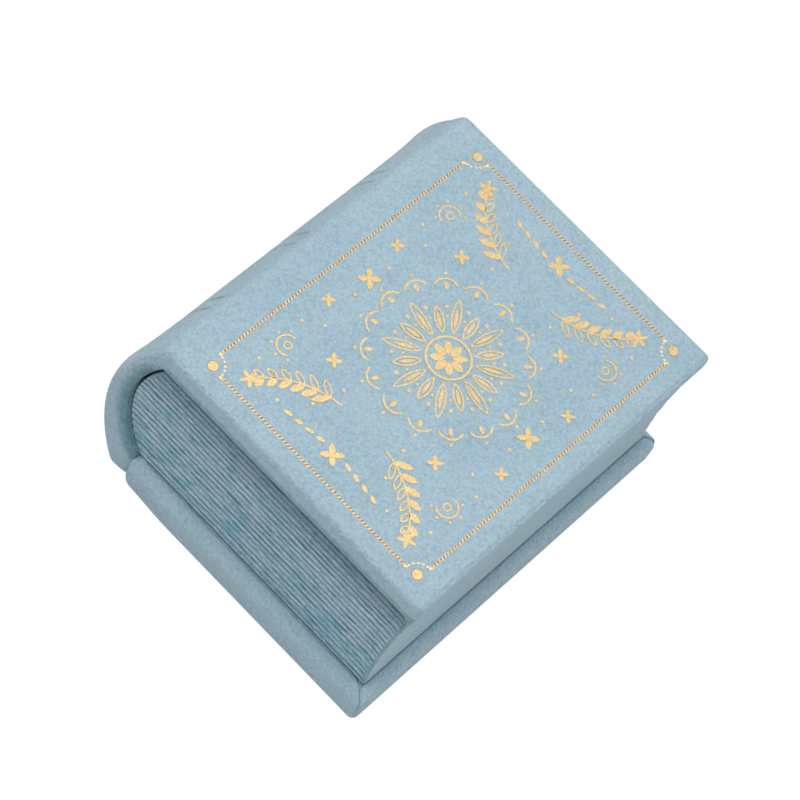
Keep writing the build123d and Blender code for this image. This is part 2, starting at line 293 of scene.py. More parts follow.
def suede_material():
    """Microfibre suede: a matt pebbled nap that lies lighter and darker in patches, greyer where the nap is pressed
    and where shade is painted in through a stored vertex value.
    """
    material, add, shader, place = new_material("microfibre_suede", {
        "Roughness": 0.95, "Specular IOR Level": 0.12, "Sheen Weight": 0.12, "Sheen Roughness": 0.5})
    patch = add("TexNoise", {"Vector": place, "Scale": 1 / (15 * mm), "Detail": 3.0, "Roughness": 0.6})
    tint = add("TexNoise", {"Vector": place, "Scale": 1 / (1.7 * mm), "Detail": 4.0, "Roughness": 0.8})
    pebble = add("TexVoronoi", {"Vector": place, "Scale": 1 / (0.85 * mm)}, feature="F1")
    fibre = add("TexNoise", {"Vector": place, "Scale": 1 / (0.5 * mm), "Detail": 3.0, "Roughness": 0.75})
    patch_level = add("MapRange", {"Value": patch, "From Min": 0.32, "From Max": 0.68})
    tint_level = add("MapRange", {"Value": tint, "From Min": 0.33, "From Max": 0.67})
    napped = add("Mix", {0: patch_level, 6: "#A2BECB", 7: "#B1C9D4"})
    tinted = add("Mix", {0: tint_level, 6: "#A0C2CC", 7: "#B0C3D6"})
    mixed = add("Mix", {0: 0.4, 6: napped, 7: tinted})
    tuft = add("Math", {0: pebble.outputs["Distance"], 1: -0.55}, operation="MULTIPLY")
    relief = add("Math", {0: tuft, 1: fibre}, operation="ADD")
    grain_level = add("MapRange", {"Value": relief, "From Min": -0.15, "From Max": 0.45})
    shade = add("Mix", {0: grain_level, 6: "#DCE1E4", 7: "#FFFFFF"})
    coloured = add("Mix", {0: 1.0, 6: mixed, 7: shade}, blend_type="MULTIPLY")
    stored = add("Attribute", attribute_name="nap_and_painted_shade")
    ragged = add(
        "MapRange", {"Value": tint, "From Min": 0.3, "From Max": 0.7, "To Min": -0.22, "To Max": 0.22})
    nap_and_shade = add("Math", {0: stored.outputs["Fac"], 1: ragged}, operation="ADD")
    nap_and_shade_level = add("MapRange", {"Value": nap_and_shade, "From Min": 0.25, "From Max": 1.0})
    # Greys the suede towards #648A95 by the stored value: pressed nap, and painted shade.
    nap_and_shade_mixed = add("Mix", {0: nap_and_shade_level, 6: coloured, 7: "#648A95"})
    bump = add("Bump", {"Height": relief, "Strength": 1.0, "Distance": 0.5 * mm})
    set_inputs(shader, {"Base Color": nap_and_shade_mixed, "Normal": bump})
    return material


suede = suede_material()
base_low, base_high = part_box("base_wrap")
wall_low, wall_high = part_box("front_wall")
page_low, page_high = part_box("page_end_right")
base_end_round = 2.5 * mm
base_front_round = 3.2 * mm
base_back_round = 3.2 * mm
base_pinch = 0.75 * mm
pinch_reach = 17 * mm
base_foot_round = 1.0 * mm
base_corner_round = 1.8 * mm
lip_crown = 0.15 * mm
lip_dip = 0.35 * mm
mitre_width = 0.26 * mm
mitre_depth = 0.3 * mm
mitre_step = 0.12 * mm
lip_end = base_high.x - page_high.x
lip_front = page_low.y - base_low.y
base_profile = [(9 * mm, 9 * mm, 9 * mm, 0.0, 0.0, 0.0)]
for step in range(5):
    turn = math.pi / 2 * step / 4
    inset = base_foot_round * (1 - math.sin(turn))
    z = base_foot_round * (1 - math.cos(turn))
    base_profile.append((inset, inset, inset, z, z, 0.0))
for step in range(10):
    turn = math.pi / 2 * step / 9
    insets = [r * (1 - math.cos(turn)) for r in (base_end_round, base_front_round, base_back_round)]
    levels = [base_high.z - r * (1 - math.sin(turn)) for r in (base_end_round, base_front_round)]
    base_profile.append((*insets, *levels, turn))
for share in (0.3, 0.6, 0.85, 1.0):
    base_profile.append((
        base_end_round + share * (lip_end - base_end_round),
        base_front_round + share * (lip_front - base_front_round),
        base_back_round, base_high.z + lip_crown * math.sin(math.pi * share) - lip_dip * share ** 4,
        base_high.z - lip_dip * share ** 2, math.pi / 2))
window = (base_high.x - wall_high.x, wall_low.y - base_low.y, base_high.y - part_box("back_wall")[1].y)
base_profile.append((*window, base_high.z - lip_dip, base_high.z - lip_dip, math.pi / 2))
base_profile.append((*window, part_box("tray_floor")[0].z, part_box("tray_floor")[0].z, math.pi / 2))
near_corner = [0.002 * step for step in range(1, 12)]
side_places = near_corner + [number / 24 for number in range(1, 24)] + [1 - share for share in reversed(near_corner)]
rows = []
for end, front, back, z_end, z_front, slope in base_profile:
    radii = [max(0.15 * mm, r - 0.7 * min(end, front)) for r in (base_corner_round, base_back_round)]
    row = []
    for x, y in rect_outline(base_high.x - end, base_low.y + front, base_high.y - back, radii, 14, side_places):
        from_front = max(0.0, y - base_low.y - front)
        from_end = max(0.0, base_high.x - end - abs(x))
        share = from_end / (from_front + from_end + 1e-9) if y < 0 else 0.0
        point = Vector((x, y, z_end + (z_front - z_end) * share))
        if y < -30 * mm and abs(x) > 40 * mm:
            gap = (from_end - from_front) / math.sqrt(2) / mitre_width
            fold = mitre_depth * math.exp(-gap * gap) + mitre_step * math.tanh(gap) * math.exp(-abs(gap) * 0.2)
            outward = Vector((math.copysign(0.7, x) * math.cos(slope), -0.7 * math.cos(slope), math.sin(slope)))
            point -= outward * fold * ease(point.z, mm, 6 * mm)
        row.append(point)
    rows.append(row)
base_cover = loft(rows)
for vert in base_cover.verts:
    pinch = ease(vert.co.y, base_high.y - pinch_reach, base_high.y) * ease(abs(vert.co.x), 49 * mm, 53 * mm)
    vert.co.x -= math.copysign(base_pinch * pinch, vert.co.x)


def base_fold_shade(p):
    """Painted shade darkens the mitred fold at the base's two front corners."""
    slope = base_front_round / base_end_round
    off_fold = (p.y - base_low.y - slope * (base_high.x - abs(p.x))) / math.sqrt(1 + slope * slope)
    return 0.95 * math.exp(-(off_fold / (0.3 * mm)) ** 2) * ease(p.z, mm, 3 * mm) if p.y < -35 * mm else 0.0


lay_nap_and_shade(base_cover, base_fold_shade)
base_piece = new_piece(base_cover, "base_cover", suede, "case")
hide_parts("base_wrap")


# Spine cover: the same suede, drawn round a thick curved board and pressed with three pairs of
# lines. The spine is slightly slimmer between its ends, and its padded ends swell outwards.
book_height = 54.3 * mm
hinge_y = 34.05 * mm
hinge_slit = 0.01 * mm
spine_depth = 12.1 * mm
shoulder_flat = 2.35 * mm
shoulder_radius = 2.41 * mm
bulge_height = 25.1 * mm
page_foot_z = 9.0 * mm
lid_low_z = 47.1 * mm
spine_foot_y = 31.45 * mm
hollow_top_y = 34.35 * mm
hollow_depth = 6.33 * mm
spine_half = 50.35 * mm
spine_waist = 1.25 * mm
lid_edge_round = 1.2 * mm
spine_rim_round = 3.4 * mm
lower_rim_round = 0.6 * mm
spine_inner_round = (0.9 * mm, 4.5 * mm)
end_swell = 1.1 * mm
pillow_reach = 6.0 * mm
pillow_depth = 0.15 * mm
suede_thickness = 0.8 * mm
groove_spread = 27.0 * mm
groove_middle = -3.6 * mm
groove_pair = 4.6 * mm
groove_depth = 0.5 * mm
groove_width = 0.7 * mm

spine_rise = spine_depth - shoulder_flat
spine_drop = book_height - bulge_height
spine_radius = (spine_rise ** 2 + spine_drop ** 2) / (2 * spine_rise)
spine_centre = Vector((0, hinge_y + spine_depth - spine_radius, bulge_height))
shoulder_z = book_height - shoulder_radius
shoulder_y = spine_centre.y + math.sqrt((spine_radius - shoulder_radius) ** 2 - (shoulder_z - bulge_height) ** 2)
shoulder_centre = Vector((0, shoulder_y, shoulder_z))
shoulder_end = math.atan2(shoulder_z - bulge_height, shoulder_y - spine_centre.y)
flat_length = shoulder_y - hinge_y
arc_start = flat_length + (math.pi / 2 - shoulder_end) * shoulder_radius
arc_length = spine_radius * (shoulder_end + math.asin(bulge_height / spine_radius))


def arc_through(top, foot, depth):
    """Radius and centre of the arc through two points that bulges by depth towards the spine."""
    half = (top - foot) / 2
    radius = (half.length ** 2 + depth ** 2) / (2 * depth)
    across = Vector((0, -half.z, half.y)).normalized()
    return radius, foot + half + across * (radius - depth)


def arc_y(centre, radius, z):
    """Y of an arc's spine side at a height."""
    return centre.y + math.sqrt(radius ** 2 - (z - centre.z) ** 2)


def contour(s):
    """Point and outward direction at a distance behind the hinge line, over lid, shoulder and spine."""
    if s < flat_length:
        return Vector((0, hinge_y + s, book_height)), Vector((0, 0, 1))
    if s < arc_start:
        turn = (s - flat_length) / shoulder_radius
        out = Vector((0, math.sin(turn), math.cos(turn)))
        return shoulder_centre + out * shoulder_radius, out
    angle = shoulder_end - (s - arc_start) / spine_radius
    out = Vector((0, math.cos(angle), math.sin(angle)))
    return spine_centre + out * spine_radius, out


hollow_radius, hollow_centre = arc_through(
    Vector((0, hollow_top_y, lid_low_z)), Vector((0, spine_foot_y, page_foot_z)), hollow_depth)


def cross_section(s):
    """The skin at a distance behind the hinge line: outer point, outward and inward ways, depth, rim radius."""
    outer, outward = contour(s)
    if s < 0:
        return outer, outward, Vector((0, 0, -1)), outer.z - lid_low_z, lid_edge_round
    if s < arc_start:
        inner = Vector((0, hinge_y + (hollow_top_y - hinge_y) * s / arc_start, lid_low_z))
    else:
        inner_z = max(0.0, lid_low_z * outer.z / contour(arc_start)[0].z)
        inner_y = arc_y(hollow_centre, hollow_radius, inner_z) if inner_z > page_foot_z else spine_foot_y
        inner = Vector((0, inner_y, inner_z))
    across = inner - outer
    rim = lid_edge_round + (spine_rim_round - lid_edge_round) * ease(s, 0, arc_start + 4 * mm)
    return outer, outward, across.normalized(), across.length, rim


def pillow_drop(edge_distance):
    """How far the padded top falls off towards an edge."""
    return pillow_depth * max(0.0, 1 - edge_distance / pillow_reach) ** 2


groove_places = [
    groove_middle + pair * groove_spread + side * groove_pair / 2 for pair in (-1, 0, 1) for side in (-1, 1)]


def in_groove(x, width):
    """How deep a place along the spine lies in the pressed lines, up to 1."""
    return sum(math.exp(-((x - groove_x) / width) ** 2) for groove_x in groove_places)


outer_places = steps(-47 * mm, 47 * mm, 3 * mm)
for groove_x in groove_places:
    outer_places += steps(groove_x - 2.4 * groove_width, groove_x + 2.4 * groove_width, groove_width * 0.4)
outer_places.sort()
turns = [math.radians(90 * number / 8) for number in range(9)]
ring = [(place_x, 0.0, False) for place_x in outer_places]
ring += [(spine_half, turn, False) for turn in turns]
ring += [(spine_half, turn, True) for turn in reversed(turns)]
ring += [(place_x, 0.0, True) for place_x in steps(46 * mm, -46 * mm, 8 * mm)]
ring += [(-spine_half, turn, True) for turn in turns]
ring += [(-spine_half, turn, False) for turn in reversed(turns)]
groove_start = arc_start - 0.5 * mm
row_places = steps(hinge_slit, arc_start + mm, 0.25 * mm)
row_places += steps(row_places[-1] + 0.6 * mm, arc_start + arc_length, 0.9 * mm)


def spine_form(inset):
    """The spine as a closed form, everywhere in by an inset from its outside."""
    rows = []
    for s in [place for place in row_places if place > inset]:
        outer, outward, across, thickness, rim = cross_section(s)
        settled = ease(s, 0, arc_start + 4 * mm)
        inner_wide, inner_deep = [lower_rim_round + (r - lower_rim_round) * settled for r in spine_inner_round]
        swell_here = end_swell * ease(s, arc_start, arc_start + 14 * mm)
        groove_fade = ease(s, groove_start, groove_start + 5 * mm)
        waist_here = spine_waist * math.sin(math.pi * min(1.0, max(0.0, outer.z / book_height)))
        row = []
        for place_x, turn, inside in ring:
            at_end = abs(place_x) > spine_half - 1e-6
            wide, deep = (inner_wide, inner_deep) if inside else (rim, rim)
            x = spine_half - wide * (1 - math.sin(turn)) if at_end else abs(place_x)
            depth = deep * (1 - math.cos(turn)) if at_end else 0.0
            if inside:
                depth = thickness - depth
            elif not at_end:
                depth += groove_fade * groove_depth * in_groove(place_x, groove_width)
            slim = waist_here * (1 - min(1.0, x / spine_half) ** 10) * (1 - depth / thickness)
            drop = pillow_drop(spine_half - x) * (1 - ease(s, 0, arc_start)) * (1 - depth / thickness)
            depth = min(thickness - inset, max(inset, depth))
            x = min(x + swell_here * ease(x, 40 * mm, spine_half), spine_half + swell_here - inset)
            row.append(outer + across * depth + Vector((math.copysign(x, place_x), -slim, -drop)))
        rows.append(row)
    return loft(rows)


def spine_nap_and_shade(p):
    """The nap is pressed in the lines. Where the spine's ends turn in to the pages, the darkening is painted shade as
    well as nap.
    """
    gap = (Vector((0, p.y, p.z)) - hollow_centre).length - hollow_radius
    at_end = (1 - ease(gap, 0.3 * mm, 5.0 * mm)) * ease(abs(p.x), 48.5 * mm, 49.5 * mm) * ease(p.z, 2 * mm, 8 * mm)
    in_line = in_groove(p.x, 0.8 * groove_width) * ease(p.y, 36.6 * mm, 39 * mm) * 0.9
    return max(at_end * 0.95 * (1 - 0.75 * ease(p.z, 42 * mm, 50 * mm)), in_line)


spine_cover = spine_form(0)
lay_nap_and_shade(spine_cover, spine_nap_and_shade)
spine_piece = new_piece(spine_cover, "spine_cover", suede, "case", 60)
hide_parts("spine_wrap")


def flecked_material(name, shader_inputs, fleck_size, stretch, detail, spread, low_tone, high_tone, relief):
    """Two tones in fine flecks, which also lift the surface a little. Boards have fibres, so they stretch them."""
    material, add, shader, place = new_material(name, shader_inputs)
    fleck_place = add("Mapping", {"Vector": place, "Scale": (stretch, 1, 1)})
    fleck = add(
        "TexNoise", {"Vector": fleck_place, "Scale": 1 / fleck_size, "Detail": detail, "Roughness": 0.7})
    level = add("MapRange", {"Value": fleck, "From Min": 0.5 - spread, "From Max": 0.5 + spread})
    tone = add("Mix", {0: level, 6: low_tone, 7: high_tone})
    bump = add("Bump", {"Height": fleck, "Strength": relief, "Distance": 0.1 * mm})
    set_inputs(shader, {"Base Color": tone, "Normal": bump})
    return material


def board_material(name, low_tone, high_tone, fibre_size, rough):
    """Pressed board or paper: matt, with short fibres of two tones."""
    matt = {"Roughness": rough, "Specular IOR Level": 0.25}
    return flecked_material(name, matt, fibre_size, 0.35, 4.0, 0.2, low_tone, high_tone, 0.3)


# Spine board: fibreboard, curved under the suede. It has the same slim waist as its cover.
fibreboard = board_material("fibreboard", "#A08465", "#BFA384", 0.7 * mm, 0.85)
board_piece = new_piece(spine_form(suede_thickness), "spine_core", fibreboard, "case", 60)
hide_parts("spine_board")


# Base board: fibreboard with its edges broken by sanding. Its sides are shaved towards the
# back, so that the suede draws in where the end lips meet the spine.
core_low, core_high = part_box("base_board")
core_edge_round = 1.5 * mm
core_shave = 1.8 * mm
core = block(core_low, core_high)
round_edges(core, lambda p: True, core_edge_round, 4)
slice_across(core, (0, 1, 0), steps(core_high.y - 16 * mm, core_high.y - 2 * mm, 2 * mm))
for vert in core.verts:
    backwards = ease(vert.co.y, core_high.y - pinch_reach, core_high.y - core_edge_round)
    shaved = core_shave * backwards * ease(abs(vert.co.x), 45 * mm, 50 * mm)
    vert.co.x -= math.copysign(shaved, vert.co.x)
core_piece = new_piece(core, "base_core", fibreboard, "case")
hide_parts("base_board")


# Page ends: card walls wrapped in ribbed paper that stands for the edges of the pages.
# The ribs are uneven, as pressed paper is, and follow the hollow fore-edge and the spine.
page_outer_x = 49.85 * mm
page_thickness = 2.0 * mm
page_top_z = 45.7 * mm
page_gap = 0.72 * mm
lid_tip_y = -44.15 * mm
flap_top_z = 50.0 * mm
flap_foot_z = 9.3 * mm
flap_foot_inset = 1.4 * mm
flap_hollow = 1.1 * mm
flap_thickness = 2.0 * mm
flap_end_thickness = 0.8 * mm
flap_gap = 0.04 * mm
rib_fade = 1.6 * mm
flap_radius, flap_centre = arc_through(
    Vector((0, lid_tip_y, flap_top_z)), Vector((0, lid_tip_y + flap_foot_inset, flap_foot_z)), flap_hollow)
rib_count = 18
rib_depth = 0.6 * mm
rib_pitch = (page_top_z - page_foot_z) / rib_count


def page_material():
    """Ribbed paper: greyed ridges, dark teal lines of painted shade between them, teal ink caught in dashes along
    each rib, and painted shadow on the top ribs under the lid.
    """
    material, add, shader, place = new_material("ribbed_page_paper", {"Roughness": 0.8, "Specular IOR Level": 0.2})
    where = add("SeparateXYZ", {"Vector": place})
    height = add("Math", {0: where.outputs["Z"], 1: page_foot_z}, operation="SUBTRACT")
    ribs = add("Math", {0: height, 1: 1 / rib_pitch}, operation="MULTIPLY")
    within = add("Math", {0: ribs}, operation="FRACT")
    centred = add("Math", {0: within, 1: 0.5}, operation="SUBTRACT")
    from_crest = add("Math", {0: centred}, operation="ABSOLUTE")
    number = add("Math", {0: ribs}, operation="FLOOR")
    lane = add("Math", {0: number, 1: 50 * mm}, operation="MULTIPLY")
    in_lane = add("Math", {0: within, 1: 0.8 * mm, 2: lane}, operation="MULTIPLY_ADD")
    along = add("Math", {0: where.outputs["Y"], 1: 0.13}, operation="MULTIPLY")
    lane_place = add("CombineXYZ", {"X": where.outputs["X"], "Y": along, "Z": in_lane})
    dash = add("TexNoise", {"Vector": lane_place, "Scale": 1 / (0.5 * mm), "Detail": 3.0, "Roughness": 0.65})
    dots = add("Mapping", {"Vector": place, "Scale": (1, 0.5, 1)})
    fleck = add("TexNoise", {"Vector": dots, "Scale": 1 / (0.5 * mm), "Detail": 2.0, "Roughness": 0.7})
    patch = add("TexNoise", {"Vector": place, "Scale": 1 / (10 * mm), "Detail": 2.0})
    dash_share = add("Math", {0: dash, 1: 0.5}, operation="MULTIPLY")
    edge = add("Math", {0: from_crest, 1: dash_share}, operation="ADD")
    # Painted shade: dark teal lines in the valleys between the ribs.
    valley_shade = add("MapRange", {"Value": edge, "From Min": 0.52, "From Max": 0.74})
    reach = add("Math", {0: patch, 1: 0.25, 2: dash}, operation="MULTIPLY_ADD")
    low_share = add(
        "MapRange", {"Value": height, "From Min": 0.0, "From Max": 30 * mm, "To Min": 0.07, "To Max": -0.04})
    inked_reach = add("Math", {0: reach, 1: low_share}, operation="ADD")
    ink = add("MapRange", {"Value": inked_reach, "From Min": 0.62, "From Max": 0.8, "To Max": 0.75})
    fleck_level = add("MapRange", {"Value": fleck, "From Min": 0.3, "From Max": 0.7})
    ridge = add("Mix", {0: fleck_level, 6: "#7D98A9", 7: "#B2C3D2"})
    inked = add("Mix", {0: ink, 6: ridge, 7: "#5A9BA6"})
    valley_shaded = add("Mix", {0: valley_shade, 6: inked, 7: "#4C7884"})
    # Painted shadow: the top ribs darken under the lid's rim.
    under_lid = add("MapRange", {"Value": height, "From Min": 27 * mm, "From Max": 35 * mm})
    painted_lid_shadow = add("Mix", {0: under_lid, 6: "#FFFFFF", 7: "#C8CDD0"})
    shaded = add("Mix", {0: 1.0, 6: valley_shaded, 7: painted_lid_shadow}, blend_type="MULTIPLY")
    bump = add("Bump", {"Height": fleck, "Strength": 0.7, "Distance": 0.25 * mm})
    set_inputs(shader, {"Base Color": shaded, "Normal": bump})
    return material


page_paper = page_material()
for side, node_name in ((-1, "page_end_left"), (1, "page_end_right")):
    page_end = bmesh.new()
    bmesh.ops.create_grid(page_end, x_segments=120, y_segments=rib_count * 10, size=0.5)
    for vert in page_end.verts:
        z = page_foot_z + (vert.co.y + 0.5) * (page_top_z - page_foot_z)
        front = arc_y(flap_centre, flap_radius + flap_end_thickness + flap_gap, z)
        back = arc_y(hollow_centre, hollow_radius - page_gap, z)
        y = front + (vert.co.x + 0.5) * (back - front)
        rib = (z - page_foot_z) / rib_pitch
        number = min(rib_count - 1, int(rib))
        random.seed(number * 7 + side)
        lean = random.uniform(-0.25, 0.25)
        height = random.uniform(0.75, 1.0)
        within = rib - number
        crown = math.sin(math.pi * min(1.0, max(0.0, within + lean * within * (1 - within) * 2))) ** 0.6
        wave = noise.noise(Vector((y / (5 * mm), number * 3.7, side))) * 0.15
        ribbed = ease(y, front, front + rib_fade) * (0.35 + 0.65 * ease(back - y, 0.0, 0.9 * mm))
        x = page_outer_x - rib_depth * (1 - crown * (height + wave)) * ribbed
        vert.co = Vector((side * min(page_outer_x, x), y, z))
    for vert in extrude(page_end, page_end.faces[:]):
        vert.co.x = side * (page_outer_x - page_thickness)
    bmesh.ops.recalc_face_normals(page_end, faces=page_end.faces)
    page_piece = new_piece(page_end, node_name.replace("page_end", "pages"), page_paper, "case")
    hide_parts(node_name)


# Lid cover: suede over foam and board, carried on down the hollow fore-edge as one skin.
# Its edges are softly rounded, and inside the lid it is turned in round the velvet.
hair = 0.001 * mm
lid_back_y = hinge_y - hinge_slit
lid_half = spine_half
flap_board_half = 47.55 * mm
flap_end_draw = 0.45 * mm
step_width = 0.02 * mm
flap_foot_round = 0.6 * mm
wrinkle_depth = 0.12 * mm
flap_fillet = 15.0 * mm
flap_slope = math.asin((flap_top_z - flap_centre.z) / flap_radius)
flap_ease = flap_fillet * math.tan(flap_slope / 2)
lining_low, lining_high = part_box("lid_lining")
lid_cover = block((-lid_half, lid_tip_y, lid_low_z), (lid_half, lid_back_y, book_height))
slice_across(lid_cover, (0, 1, 0), [lid_tip_y + flap_thickness])
strip = [f for f in lid_cover.faces if f.normal.z < -0.9 and f.calc_center_median().y < lid_tip_y + flap_thickness]
for vert in extrude(lid_cover, strip):
    vert.co.z = flap_foot_z
bmesh.ops.delete(lid_cover, geom=[f for f in strip if f.is_valid], context="FACES")
near = 0.1 * mm
round_edges(lid_cover, lambda p: (
    (p.z > book_height - near) + (abs(p.x) > lid_half - near) + (p.y < lid_tip_y + near)) >= 2, lid_edge_round, 8)


def flap_sweep(z):
    """How far the hollow fore-edge stands back from the lid's tip at a height."""
    below = flap_top_z + flap_ease - z
    if below <= 0:
        return 0.0
    if below < 2 * flap_ease:
        return flap_fillet - math.sqrt(flap_fillet ** 2 - below ** 2)
    return arc_y(flap_centre, flap_radius, z) - lid_tip_y


def in_flap(p):
    """True below the lid's rim."""
    return p.z < lid_low_z


def in_lid(p):
    """True from the lid's rim upwards."""
    return p.z > lid_low_z - hair


for normal, places, within in (
        ((0, 0, 1), [flap_foot_z + rise * mm for rise in (0.06, 0.18, 0.36, 0.6)], in_flap),
        ((0, 0, 1), steps(flap_foot_z + 1.4 * mm, lid_low_z - 1.4 * mm, 1.2 * mm), in_flap),
        ((0, 0, 1), [lid_low_z - drop * mm for drop in (0.02, 0.25, 0.5, 0.75, 1.0)], in_flap),
        ((0, 0, 1), steps(lid_low_z, flap_top_z + flap_ease, 0.4 * mm), lambda p: p.z > lid_low_z),
        ((0, 0, 1), [lid_low_z + rise * mm for rise in (0.08, 0.22)], lambda p: p.z > lid_low_z),
        ((1, 0, 0), steps(-46.5 * mm, 46.5 * mm, 1.5 * mm), None),
        ((1, 0, 0), [side * (flap_board_half + shift) for side in (-1, 1) for shift in (0, step_width)], None),
        ((0, 1, 0), steps(-42 * mm, 31.5 * mm, 1.5 * mm), in_lid),
        ((0, 1, 0), steps(32.5 * mm, 33.5 * mm, 0.5 * mm), in_lid)):
    slice_across(lid_cover, normal, places, within)
sink(lid_cover, (lining_low.x, lining_low.y, lid_low_z), (lining_high.x, lining_high.y, lid_low_z),
     lining_high.z - lid_low_z)
for vert in lid_cover.verts:
    here = vert.co.copy()
    behind_tip = here.y - lid_tip_y
    if in_lid(here):
        vert.co.y += flap_sweep(here.z) * max(0.0, 1 - behind_tip / (6 * mm))
        if abs(here.x) > lid_half - 0.01 * mm:
            tuck = rounded(here.z - lid_low_z, lower_rim_round) * ease(behind_tip, 1.5 * mm, 4 * mm)
            vert.co.x -= math.copysign(tuck, here.x)
    elif behind_tip < flap_thickness + hair:
        thin = flap_end_thickness / flap_thickness
        full = ease(here.z, lid_low_z - 1.3 * mm, lid_low_z)
        share = thin + (1 - thin) * full if abs(here.x) > flap_board_half + step_width / 2 else 1.0
        vert.co.y = lid_tip_y + flap_sweep(here.z) + behind_tip * share
        front = max(0.0, 1 - behind_tip / flap_thickness)
        vert.co.y += rounded(here.z - flap_foot_z, flap_foot_round) * front
        wrinkle = noise.noise(Vector((here.x / (30 * mm), 0, here.z / (2.6 * mm))))
        calm = min(1.0, (here.z - flap_foot_z) / (3 * mm)) * min(1.0, (lid_low_z - here.z) / (12 * mm))
        vert.co.y += wrinkle_depth * wrinkle * calm * front
        if abs(here.x) > flap_board_half + step_width / 2:
            low_down = 1 - ease(here.z, lid_low_z - 3 * mm, lid_low_z)
            drawn = 1 - flap_end_draw / (lid_half - flap_board_half) * low_down
            vert.co.x = math.copysign(flap_board_half + (abs(here.x) - flap_board_half) * drawn, here.x)
    if here.z > lid_low_z + 3 * mm:
        vert.co.z -= pillow_drop(min(lid_half - abs(here.x), behind_tip))


def lid_end_nap_and_shade(p):
    """Greyer along the lower half of the lid's two ends: partly nap turned on the end faces, partly painted shade."""
    low_down = 1 - ease(p.z, lid_low_z + 1.6 * mm, lid_low_z + 3.4 * mm)
    return low_down * ease(abs(p.x), lid_half - 1.4 * mm, lid_half - 0.4 * mm) * 0.66


lay_nap_and_shade(lid_cover, lid_end_nap_and_shade)
lid_piece = new_piece(lid_cover, "lid_cover", suede, "lid")
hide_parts("lid_wrap")


# Hinge skin: the strip of the same suede that runs from the lid over the hinge line on to the
# shoulder of the spine, and a little way down both ends.
strip_front = 5.0 * mm
strip_back = 3.4 * mm
strip_proud = 0.05 * mm
strip_thickness = 0.3 * mm
strip_end_turn = math.radians(75)
strip_step = 0.17 * mm
strip_rim = [number / 40 for number in range(5)]
strip_places = [share - 1 for share in strip_rim] + steps(-0.88, 0.88, 0.02) + [0.9 + share for share in strip_rim]
rows = []
for s in steps(-strip_front, strip_back, strip_step):
    outer, outward, across, thickness, rim = cross_section(s)
    near_edge = abs(2 * (s + strip_front) / (strip_front + strip_back) - 1)
    straight = lid_half - rim
    top, under = [], []
    for share in strip_places:
        reach = abs(share) * (straight + rim * strip_end_turn)
        over = max(0.0, reach - straight) / rim
        out = outward * math.cos(over) + Vector((math.copysign(math.sin(over), share), 0, 0))
        lift = strip_proud * (1 - 2.4 * max(near_edge, over / strip_end_turn) ** 4)
        x = min(reach, straight) + rim * math.sin(over)
        drop = pillow_drop(lid_half - x) * (1 - ease(s, 0, arc_start))
        point = outer + across * rim * (1 - math.cos(over)) + Vector((math.copysign(x, share), 0, -drop))
        top.append(point + out * lift)
        under.append(point - out * strip_thickness)
    rows.append(top + under[::-1])
strip_piece = new_piece(loft(rows), "hinge_skin", suede, None, 60)
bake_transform(strip_piece)
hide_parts("hinge_cloth")


# Gold border: hot-stamped foil, pressed as a fine slanting cord round the lid, with its
# corners turned inwards round a dot. This kind of border is old and common on book covers.
def foil_material(name, low_tone, high_tone, rough):
    """Hot-stamped metal film, a little uneven because the nap lies under it."""
    film = {"Metallic": 0.7, "Roughness": rough}
    return flecked_material(name, film, 0.5 * mm, 1, 3.0, 0.15, low_tone, high_tone, 0.25)


gold_foil = foil_material("stamped_gold_foil", "#C2A26C", "#DCC594", 0.42)
pale_foil = foil_material("worn_pale_foil", "#B19D7E", "#D0C1A6", 0.5)
# A dark brown foil that paints the shadow between the cord's beads and round the dots.
shadow_foil = foil_material("foil_painted_shadow", "#765F42", "#9F8259", 0.45)
border_x = -0.35 * mm
border_half_x = 44.65 * mm
border_low_y = -38.3 * mm
border_high_y = 27.75 * mm
border_break = 4.4 * mm
bead_pitch = 0.95 * mm
bead_half = (0.5 * mm, 0.25 * mm, 0.1 * mm)
bead_slant = math.radians(50)
cord_width = 0.7 * mm
cord_step = 0.45 * mm
cord_wander = 0.09 * mm
cord_height = 0.025 * mm
run_end_half = (0.58 * mm, 0.52 * mm, 0.14 * mm)
corner_bead_half = (0.42 * mm, 0.36 * mm, 0.08 * mm)
corner_arc_radius = 3.9 * mm
corner_dot_radius = 1.35 * mm
corner_dot_inset = (0.5 * mm, 1.0 * mm)


def bead(bm, x, y, half, turn, rings=4):
    """A flattened bead of foil on the lid, turned in its plane."""
    here = Matrix.Translation((x, y, book_height)) @ Matrix.Rotation(turn, 4, "Z") @ Matrix.Diagonal((*half, 1))
    bmesh.ops.create_uvsphere(bm, u_segments=2 * rings, v_segments=rings, radius=1, matrix=here)


def ragged_disc(bm, x, y, radius, height, ragged):
    """A thin patch of foil whose rim is uneven, as film is where it tears off the nap."""
    points = [Vector((math.cos(a), math.sin(a), 0)) for a in [math.tau * n / 36 for n in range(36)]]
    ring_low = []
    for point in points:
        wander = 1 + ragged * noise.noise(point * 3.1 + Vector((x, y, 0)) / mm)
        ring_low.append(Vector((x, y, book_height)) + point * radius * wander)
    lows = [bm.verts.new(point) for point in ring_low]
    highs = [bm.verts.new(point + Vector((0, 0, height))) for point in ring_low]
    bm.faces.new(highs)
    for number, low in enumerate(lows):
        after = (number + 1) % 36
        bm.faces.new((low, lows[after], highs[after], highs[number]))


